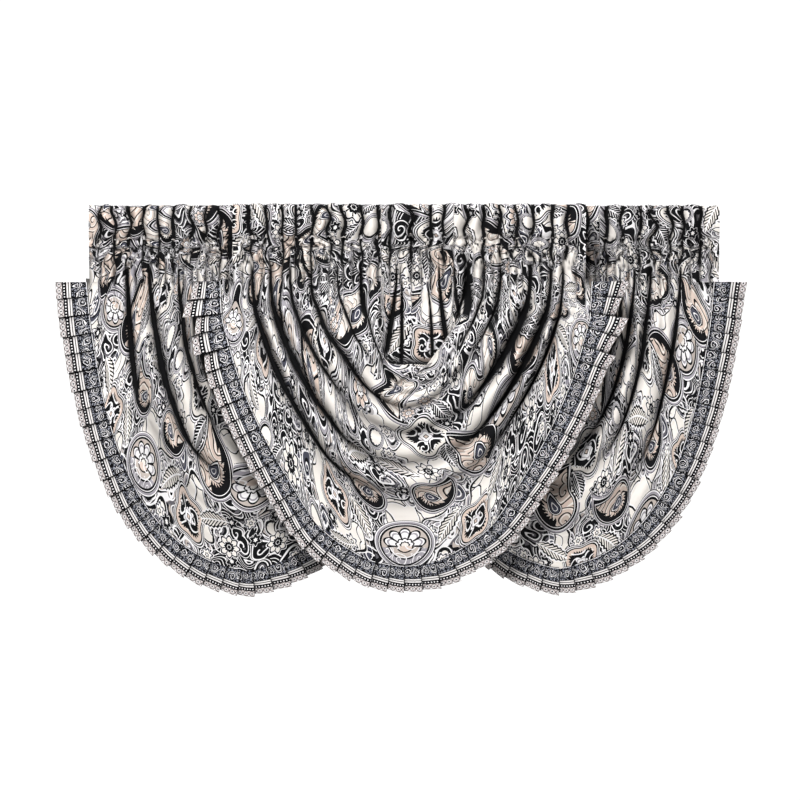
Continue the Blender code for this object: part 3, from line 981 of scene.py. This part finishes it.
# The repeat of the cloth: motifs in its left half, mirrored into the right one.
# Places and sizes in millimetres, on a tile TILE wide and high.
TILE = (520.0, 436.0)
DROP, OVAL, ROSE, LEAF, FAN, MEDAL = 1, 2, 3, 4, 5, 6
MOTIFS = [
    # kind,  x,    y,  size, turn, variant
    (DROP,   74,   84,   33,   34, 0.10),
    (DROP,  182,  284,   36, -158, 0.60),
    (DROP,   54,  322,   25,  -70, 0.85),
    (DROP,  224,  160,   23,  -20, 0.30),
    (OVAL,  172,   50,   25,   58, 0.30),
    (MEDAL, 118,  200,   40,   11, 0.20),
    (MEDAL, 134,  392,   34,   45, 0.70),
    (OVAL,   26,  206,   19,   24, 0.90),
    (ROSE,    0,  150,   30,    0, 0.15),
    (ROSE,  260,   40,   32,    0, 0.80),
    (ROSE,   98,  144,   17,   20, 0.45),
    (ROSE,  206,  112,   20,   10, 0.60),
    (ROSE,  134,  124,   16,   40, 0.25),
    (ROSE,  216,  400,   22,    0, 0.95),
    (ROSE,   86,  272,   20,    0, 0.55),
    (FAN,   260,  296,   46,    0, 0.20),
    (FAN,     0,  394,   42,  180, 0.70),
    (LEAF,   36,  262,   36,  118, 0.20),
    (LEAF,  160,  150,   33,  -40, 0.70),
    (LEAF,  142,  250,   30,   14, 0.50),
    (LEAF,  186,  366,   32,   70, 0.10),
    (LEAF,   80,  380,   34,   40, 0.40),
    (LEAF,   22,   56,   36,    4, 0.80),
    (LEAF,  214,   60,   30,   30, 0.90),
    (LEAF,  118,   18,   28,  -66, 0.20),
]
REACH = {DROP: 1.46, OVAL: 1.34, ROSE: 1.06, LEAF: 1.22, FAN: 1.30, MEDAL: 1.24}
BEND, CURL, TIP, FLANK = 0.46, 0.30, 1.30, 1.25


def motif_field(kind, x, y):
    """How far out a place is in a motif: the same sums as in the material."""
    rho, turn = np.hypot(x, y), np.arctan2(x, y)
    if kind == DROP:
        swirl = (turn - rho * BEND + CURL + math.pi) % (2 * math.pi) - math.pi
        return rho / (TIP * np.maximum(1 - np.abs(swirl) / FLANK, 0) ** 2 + 1)
    if kind == OVAL:
        return np.hypot(x * 1.42, y)
    if kind == LEAF:
        wide = np.maximum(1 - y * y, 0) * 0.42
        return np.maximum(np.abs(x - 0.16 * y * y + 0.10) / (wide + 0.05), np.abs(y))
    if kind == FAN:
        return np.hypot(x, y * 1.25 + 0.30)
    return rho


def motif_corners(corners):
    """For each face's corners in cloth metres: the place in the motif that it
    belongs to, over the motif's size, and the motif's kind and variant."""
    c = corners * 1000.0 / PRINT
    centre = c.mean(axis=1)
    best = np.full(len(c), 1.0)
    out = np.zeros((len(c), 4, 3))
    out[:, :, :2] = 9.0
    for kind, mx, my, size, turn, variant in MOTIFS:
        for flip in (1, -1):
            # The nearest copy of this motif to each face.
            dx = (centre[:, 0] - flip * mx + TILE[0] / 2) % TILE[0] - TILE[0] / 2
            dy = (centre[:, 1] - my + TILE[1] / 2) % TILE[1] - TILE[1] / 2
            # Its own frame: +Y towards the tip.
            ca, sa = math.cos(math.radians(turn)), math.sin(math.radians(turn))
            ox = flip * (c[:, :, 0] - centre[:, None, 0] + dx[:, None])
            oy = c[:, :, 1] - centre[:, None, 1] + dy[:, None]
            qx, qy = (ox * ca + oy * sa) / size, (oy * ca - ox * sa) / size
            mid = motif_field(kind, qx.mean(axis=1), qy.mean(axis=1))
            d = mid / (REACH[kind] + 0.35) - 4.0 / size
            mine = d < best
            best = np.where(mine, d, best)
            out[mine, :, 0], out[mine, :, 1] = qx[mine], qy[mine]
            out[mine, :, 2] = kind + variant
    return out.reshape(-1, 3)


def jacquard_material(name, wrong_side=False):
    c = Cloth(name)
    place = c.v("SCALE", c.attribute("flat"), 1000.0 / PRINT)
    warp = c.noise(place, 1 / 60.0, 1.0, out=1)
    warp = c.v("SCALE", c.v("SUBTRACT", warp, (0.5, 0.5, 0.5)), 38.0)
    bent = c.v("ADD", place, warp)
    broad = c.noise(place, 1 / 98.0, 1.0)

    # The large motifs, in their own coordinates: how far out each place is.
    mx, my, kind = c.split(c.attribute("motif"))
    variant = c.fract(kind)
    kind = c.m("FLOOR", kind)
    is_drop, is_oval, is_rose, is_leaf, is_fan, is_medal = (
        c.near(kind, float(k), 0.5) for k in (1, 2, 3, 4, 5, 6))
    rho = c.v("LENGTH", c.join(mx, my), out="Value")
    turn = c.m("ARCTAN2", mx, my)  # 0 towards the tip
    # Drops: the outline grows towards the tip, which bends to one side.
    swirl = c.m("WRAP", turn - rho * BEND + CURL, math.pi, -math.pi)
    tip = c.m("MAXIMUM", 1.0 - c.m("ABSOLUTE", swirl) * (1 / FLANK), 0.0)
    drop = rho / (tip * tip * TIP + 1.0)
    oval = c.v("LENGTH", c.join(mx * 1.42, my), out="Value")
    up = my * 1.25 + 0.30
    fan = c.v("LENGTH", c.join(mx, up), out="Value")
    halo = drop * is_drop + oval * is_oval + fan * is_fan + rho * is_rose + is_leaf * 9.0
    halo = halo + rho * is_medal
    halo = halo + 9.0 * (kind < 0.5)

    # Engraved lines that follow the ground's own hills, and the motifs' outlines.
    hills = c.noise(bent, 1 / 44.0)
    flow = c.fract(hills * 9.6)
    rough = c.noise(place, 1 / 30.0, 1.0)
    # Scrolls: a spiral in each cell of the ground.
    spot = c.v("SCALE", bent, 1 / 43.0)
    r, tint, centre = c.cells(spot, 0.80)
    dx, dy, _ = c.split(c.v("SUBTRACT", spot, centre))
    tr, tg, tb = c.split(tint)
    angle = c.m("ARCTAN2", dy, dx) * (1 / (2 * math.pi))
    hand = c.m("SIGN", tr - 0.5)
    curl = c.fract(c.m("MULTIPLY_ADD", angle, hand, r * 3.9 + tg * 0.9))
    inside = r < 0.40
    lines = c.m("ADD", flow * (1.0 - inside), curl * inside)

    tone = c.fract(broad * 6.3 + hills * 1.7)
    fill = c.steps(tone, [(0.0, LILAC), (0.22, ASH), (0.38, GREY), (0.47, LILAC),
                          (0.62, SAND), (0.78, GREY), (0.86, ASH)])
    fill = c.over(fill, inside * (tb > 0.35), c.over(ASH, tb > 0.72, SLATE))
    # Grain: small etched specks.
    small = c.cells(c.v("SCALE", place, 1 / 6.6), 1.0, "DISTANCE_TO_EDGE")
    fill = c.over(fill, (small < 0.12) * (hills > 0.50), SLATE)
    outer = 1.0 - inside
    black = broad > 0.524
    light = (broad < 0.440) * (1.0 - inside * (tg > 0.55))
    fill = c.over(fill, black, BLACK)
    ink = c.over(GREY, rough > 0.40, BLACK)
    ground = c.over(fill, c.near(lines, 0.53, 0.135), ink)
    ground = c.over(ground, c.near(lines, 0.22, 0.13), PALE)
    thin = c.over(CREAM, c.near(lines, 0.2, 0.05) * (broad > 0.422), GREY)
    ground = c.over(ground, light, thin)
    ground = c.over(ground, c.near(r, 0.415, 0.024), PALE)
    ground = c.over(ground, c.near(r, 0.452, 0.020), BLACK)
    ground = c.over(ground, c.near(broad, 0.524, 0.005), PALE)
    ground = c.over(ground, c.near(broad, 0.440, 0.008), BLACK)
    ground = c.over(ground, c.near(broad, 0.452, 0.004), PALE)

    # Small flowers over it.
    spot = c.v("SCALE", place, 1 / 41.0)
    r, tint, centre = c.cells(spot, 0.75)
    dx, dy, _ = c.split(c.v("SUBTRACT", spot, centre))
    tr, tg, tb = c.split(tint)
    angle = c.m("ARCTAN2", dy, dx)
    petal = c.m("COSINE", c.m("MULTIPLY_ADD", angle, 6.0, tr * 6.0))
    f = r / (c.m("MULTIPLY_ADD", petal, 0.22, 1.0) * 0.27)
    bloom = c.steps(f * 0.5, [(0.0, PALE), (0.08, BLACK), (0.15, CREAM), (0.29, PALE),
                              (0.34, SLATE), (0.39, BLACK), (0.46, PALE)])
    dark = c.steps(f * 0.5, [(0.0, CREAM), (0.08, PALE), (0.15, BLACK), (0.40, PALE),
                             (0.46, BLACK)])
    bloom = c.over(bloom, tb > 0.5, dark)
    ground = c.over(ground, (f < 1.06) * (tg > 0.40), bloom)

    # The comb of teeth down one side of a drop.
    teeth = c.m("PINGPONG", swirl * 3.6, 0.5)
    comb = (drop > 0.46 + teeth * 0.44) * c.near(swirl, -1.45, 1.45)
    vein = c.fract(curl * 1.0)
    inner = c.over(CREAM, c.near(vein, 0.46, 0.08), TAUPE)
    inner = c.over(inner, c.near(vein, 0.20, 0.08), PEACH)
    rich = c.over(PEACH, c.near(vein, 0.46, 0.09), BLACK)
    rich = c.over(rich, c.near(vein, 0.20, 0.09), CREAM)
    inner = c.over(inner, variant > 0.5, rich)
    core = c.steps(drop, [(0.0, SLATE), (0.10, PALE), (0.14, SLATE), (0.23, BLACK),
                          (0.28, PALE), (0.32, BLACK), (0.36, PEACH)])
    inner = c.over(inner, drop < 0.36, core)
    inner = c.over(inner, comb, BLACK)
    rings = c.steps(drop * 0.5, [(0.0, BLACK), (0.485, PALE), (0.505, BLACK),
                                 (0.560, PALE), (0.580, LILAC), (0.615, BLACK),
                                 (0.630, PALE)])
    paisley = c.over(inner, drop > 0.93, rings)
    cloth = c.over(ground, is_drop * (drop < 1.29), paisley)

    # Ovals of plain satin with dark rings, thicker on one side.
    moon = c.v("LENGTH", c.join(mx * 1.42 - 0.10, my + 0.06), out="Value")
    satin = c.steps(oval * 0.5, [(0.0, BLACK), (0.45, PALE), (0.475, BLACK),
                                 (0.495, LILAC), (0.545, PALE), (0.565, BLACK),
                                 (0.590, PALE)])
    satin = c.over(satin, (moon < 0.80) * (oval < 0.84), CREAM)
    scallop = 0.66 + 0.10 * c.m("ABSOLUTE", c.m("SINE", turn * 7.0))
    satin = c.over(satin, (moon > scallop) * (moon < 0.80) * (variant > 0.5), SLATE)
    cloth = c.over(cloth, is_oval * (oval < 1.22), satin)

    # Roses.
    lobes = c.m("COSINE", turn * 8.0)
    rose = rho / (lobes * 0.13 + 0.90)
    petal = c.near(c.fract(turn * (8 / (2 * math.pi))), 0.5, 0.10)
    first = c.steps(rose, [(0.0, CREAM), (0.12, BLACK), (0.17, PALE), (0.30, BLACK),
                           (0.36, PEACH), (0.62, PALE), (0.68, BLACK), (0.82, PALE),
                           (0.88, SLATE), (0.96, PALE)])
    second = c.steps(rose, [(0.0, BLACK), (0.15, PALE), (0.20, BLACK), (0.42, PALE),
                            (0.48, CREAM), (0.74, PALE), (0.79, BLACK), (0.92, PALE)])
    first = c.over(first, variant > 0.5, second)
    first = c.over(first, petal * c.near(rose, 0.56, 0.20), BLACK)
    cloth = c.over(cloth, is_rose * (rose < 1.0), first)

    # Leaves, with ribs from a curved spine.
    spine = mx - 0.16 * my * my + 0.10
    flank = c.m("ABSOLUTE", spine)
    wide = c.m("MAXIMUM", 1.0 - my * my, 0.0) * 0.42
    saw = c.m("PINGPONG", my * 4.0 + 0.2, 0.5)
    leaf = flank / (wide * (saw * 0.45 + 0.85) + 0.001)
    rib = c.fract(my * 5.0 - flank * 6.0)
    blade = c.over(CREAM, rib < 0.40, BLACK)
    blade = c.over(blade, variant > 0.45, c.over(BLACK, rib < 0.34, PALE))
    blade = c.over(blade, flank < 0.035, PALE)
    blade = c.over(blade, leaf > 0.78, BLACK)
    blade = c.over(blade, leaf > 0.98, PALE)
    cloth = c.over(cloth, is_leaf * (leaf < 1.22), blade)

    # Fans: rows of petals over a cup, on a dark or a peach ground.
    spread = c.m("ARCTAN2", mx, up)
    lobe = c.m("ABSOLUTE", c.m("COSINE", spread * 4.5))
    span = fan / (lobe * 0.22 + 0.80)
    gap = c.m("ABSOLUTE", c.m("SINE", spread * 4.5))
    petals = c.steps(span, [(0.0, CREAM), (0.16, BLACK), (0.22, PALE), (0.34, BLACK),
                            (0.40, PALE), (0.66, LILAC), (0.74, PALE), (0.82, BLACK),
                            (0.90, SAND)])
    petals = c.over(petals, (gap > 0.93) * c.near(span, 0.60, 0.22), BLACK)
    below = c.over(c.steps(fan * 0.5, [(0.0, PEACH), (0.16, BLACK), (0.19, SAND),
                                       (0.30, PALE), (0.33, BLACK), (0.37, LILAC)]),
                   c.near(curl, 0.2, 0.10), PALE)
    petals = c.over(petals, c.m("ABSOLUTE", spread) > 1.84, below)
    petals = c.over(petals, fan > 0.98, c.steps(fan * 0.5, [
        (0.0, BLACK), (0.53, PALE), (0.55, BLACK), (0.57, LILAC), (0.61, PALE),
        (0.635, BLACK)]))
    cloth = c.over(cloth, is_fan * (fan < 1.30), petals)

    # Medallions: scrolls on black inside a toothed edge.
    medal = rho / (c.m("COSINE", turn * 4.0) * 0.13 + 0.92)
    saw = c.m("PINGPONG", turn * (18 / math.pi), 0.5)
    dark = c.over(BLACK, c.near(curl, 0.20, 0.12), PALE)
    dark = c.over(dark, medal > 0.70 + saw * 0.30, c.over(CREAM, variant > 0.5, PEACH))
    hub = c.m("COSINE", turn * 6.0) * 0.07 + 0.34
    dark = c.over(dark, medal < hub, c.steps(medal * 2.0, [
        (0.0, PEACH), (0.16, BLACK), (0.24, PALE), (0.50, LILAC), (0.60, PALE)]))
    dark = c.over(dark, medal > 0.98, c.steps(medal * 0.5, [
        (0.0, BLACK), (0.52, PALE), (0.55, BLACK), (0.575, PALE), (0.605, BLACK)]))
    cloth = c.over(cloth, is_medal * (medal < 1.24), dark)

    if wrong_side:
        # The figures' threads float behind here, and the satin is matt.
        cloth = c.over(cloth, 0.38, (0.36, 0.345, 0.335))
        c.put(c.bsdf.inputs["Roughness"], c.m("MULTIPLY_ADD", c.grey(cloth), -0.20, 0.90))
    else:
        # Painted shade from the folds, slots and creases: the colour goes toward near-black.
        painted_shade = c.attribute("painted_shade", "Fac")
        cloth = c.over(cloth, painted_shade, (0.004, 0.004, 0.005))
        # Pale threads float as satin and shine, dark ones lie matt in the weave.
        c.put(c.bsdf.inputs["Roughness"], c.m("MULTIPLY_ADD", c.grey(cloth), -0.62, 0.88))
    c.bsdf.inputs["Specular IOR Level"].default_value = 0.30
    c.weave(place, 0.9)
    c.put(c.bsdf.inputs["Base Color"], cloth)
    return c.mat


def border_material(name, wrong_side=False):
    """The strip's own print: y runs in from the outer edge, x along the cloth."""
    c = Cloth(name)
    straight = c.v("SCALE", c.attribute("flat"), 1000.0)
    x, y, _ = c.split(straight)
    # Vines on blue-grey, on the side next to the swag, drawn with a free hand.
    free = c.v("SUBTRACT", c.noise(straight, 1 / 19.0, 1.0, out=1), (0.5, 0.5, 0.5))
    fx, fy, _ = c.split(c.v("ADD", straight, c.v("SCALE", free, 13.0)))
    run = fx * (1 / 23.0)
    along = (c.fract(run) - 0.5) * 23.0
    side = c.m("SIGN", c.fract(run * 0.5) - 0.5)
    across = fy - 51.0 - side * 4.6
    rho = c.v("LENGTH", c.join(along, across), out="Value")
    turn = c.m("ARCTAN2", across, along) * (1 / (2 * math.pi))
    curl = c.fract(c.m("MULTIPLY_ADD", turn, side, rho * (1 / 5.2)))
    speck = c.cells(c.join(x * (1 / 6.5), y * (1 / 6.5)), 1.0, "DISTANCE_TO_EDGE")
    vine = c.over(STEEL, speck < 0.15, BLACK)
    vine = c.over(vine, c.near(c.fract(fx * (1 / 11.5)), 0.5, 0.20) * c.near(
        c.m("ABSOLUTE", fy - 51.0), 13.0, 2.6), BLACK)
    stem = c.m("ABSOLUTE", across + side * 12.0 * c.m("COSINE", along * (math.pi / 23.0)))
    vine = c.over(vine, c.near(curl, 0.62, 0.22) * (rho < 10.5), BLACK)
    vine = c.over(vine, c.near(curl, 0.24, 0.13) * (rho < 9.5), PALE)
    vine = c.over(vine, stem < 2.3, BLACK)
    vine = c.over(vine, stem < 0.9, PALE)
    vine = c.over(vine, y > 67.0, PALE)
    vine = c.over(vine, y > 68.6, BLACK)
    # Plain stripes, and the beads between black lines.
    y = y * 1.14
    plain = c.steps(y * 0.01, [(0.0, PINK), (0.155, BLACK), (0.262, BONE), (0.306, BLACK),
                               (0.326, BONE), (0.368, BLACK), (0.395, STEEL)])
    bead = c.near(c.fract(x * (1 / 6.8)), 0.5, 0.22) * c.near(y, 20.8, 1.8)
    plain = c.over(plain, bead, PALE)
    strip = c.over(plain, y > 39.0, vine)
    # Scallops with ringed dots along the outer edge.
    along = (c.fract(x * (1 / 14.5)) - 0.5) * 14.5
    ring = c.v("LENGTH", c.join(along, y - 8.2), out="Value")
    scallop = c.steps(ring * 0.1, [(0.0, BLACK), (0.19, PALE), (0.36, TAUPE), (0.44, PINK),
                                   (0.58, SOOT), (0.74, PINK)])
    scallop = c.over(scallop, (ring > 7.2) * (y < 7.0), PALE)
    strip = c.over(strip, (y < 15.6) * (ring < 7.2 + 9.0 * (y < 8.2)), scallop)
    strip = c.over(strip, y < 1.0, TAUPE)
    if wrong_side:
        strip = c.over(strip, 0.38, (0.30, 0.29, 0.30))
    else:
        # Painted shade from the pleats: the colour goes toward near-black.
        strip = c.over(strip, c.attribute("painted_shade", "Fac"), (0.004, 0.004, 0.005))
    c.put(c.bsdf.inputs["Base Color"], strip)
    c.put(c.bsdf.inputs["Roughness"], c.m("MULTIPLY_ADD", c.grey(strip), -0.35, 0.85))
    c.bsdf.inputs["Specular IOR Level"].default_value = 0.14
    c.weave(c.join(x, y), 0.9)
    return c.mat


jacquard = (jacquard_material("jacquard"), jacquard_material("jacquard_back", True))
strip = (border_material("border_strip"), border_material("border_strip_back", True))

# ---- build ---------------------------------------------------------------------------
for side, v in VALANCES.items():
    hem = Hem(v)
    swag, p_swag, top = build_swag(side, v, hem, jacquard)
    heading, p_head = build_heading(side, v, top, jacquard)
    border, p_border = build_border(side, v, hem, strip)
    made = {"heading": heading, "swag": swag, "border": border}
    for kind, obj in made.items():
        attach(obj, "root")
        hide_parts(f"{kind}_{side}")
        "border_strip" if kind == "border" else "jacquard"
        "hung" if kind == "swag" else "gathered"

# ---- camera, light and floor -----------------------------------------------------------
view_z = -0.4312
distance = 12.0
cam = bpy.data.cameras.new("camera")
cam.sensor_width = 36.0
cam.lens = 36.0 * distance / 1.76
cam_obj = bpy.data.objects.new("camera", cam)
cam_obj.location = (0.0, -0.04 - distance, view_z)
cam_obj.rotation_euler = (math.pi / 2, 0, 0)
bpy.context.scene.collection.objects.link(cam_obj)
bpy.context.scene.camera = cam_obj
cam.clip_end = 60


def area_light(name, place, target, size, watts, colour=(1, 1, 1)):
    data = bpy.data.lights.new(name, "AREA")
    data.shape = "RECTANGLE"
    data.size, data.size_y = size
    data.energy = watts
    data.color = colour
    obj = bpy.data.objects.new(name, data)
    obj.location = place
    from mathutils import Vector

    aim = Vector(target) - Vector(place)
    obj.rotation_euler = aim.to_track_quat("-Z", "Y").to_euler()
    bpy.context.scene.collection.objects.link(obj)
    return obj


area_light("key", (-0.7, -3.0, 1.8), (0, 0, -0.45), (1.5, 1.0), 138)
area_light("fill", (2.0, -2.6, 0.2), (0, 0, -0.45), (1.4, 1.4), 9)
area_light("top", (0.3, -0.8, 2.2), (0, 0, -0.35), (1.8, 0.7), 16)
area_light("back", (0.7, 3.0, 1.2), (0, 0, -0.45), (2.0, 1.4), 90)

world = bpy.data.worlds.new("studio")
bpy.context.scene.world = world
world.use_nodes = True
wn, wl = world.node_tree.nodes, world.node_tree.links
wn.clear()
out = wn.new("ShaderNodeOutputWorld")
seen = wn.new("ShaderNodeBackground")
seen.inputs["Color"].default_value = (1, 1, 1, 1)
seen.inputs["Strength"].default_value = 1.0
lit = wn.new("ShaderNodeBackground")
lit.inputs["Color"].default_value = (1, 1, 1, 1)
lit.inputs["Strength"].default_value = 0.09
ray = wn.new("ShaderNodeLightPath")
mix = wn.new("ShaderNodeMixShader")
wl.new(ray.outputs["Is Camera Ray"], mix.inputs[0])
wl.new(lit.outputs[0], mix.inputs[1])
wl.new(seen.outputs[0], mix.inputs[2])
wl.new(mix.outputs[0], out.inputs[0])

scene = bpy.context.scene
scene.view_settings.view_transform = "Standard"
scene.view_settings.look = "None"
scene.view_settings.exposure = 0.13
scene.view_settings.gamma = 0.87

bpy.ops.mesh.primitive_plane_add(size=3.4, location=(0, -0.2, -1.45))
floor = bpy.context.active_object
floor.name = "floor"
pale = bpy.data.materials.new("pale_floor")
pale.use_nodes = True
pale.node_tree.nodes["Principled BSDF"].inputs["Base Color"].default_value = (0.85, 0.85, 0.84, 1)
pale.node_tree.nodes["Principled BSDF"].inputs["Roughness"].default_value = 0.8
floor.data.materials.append(pale)
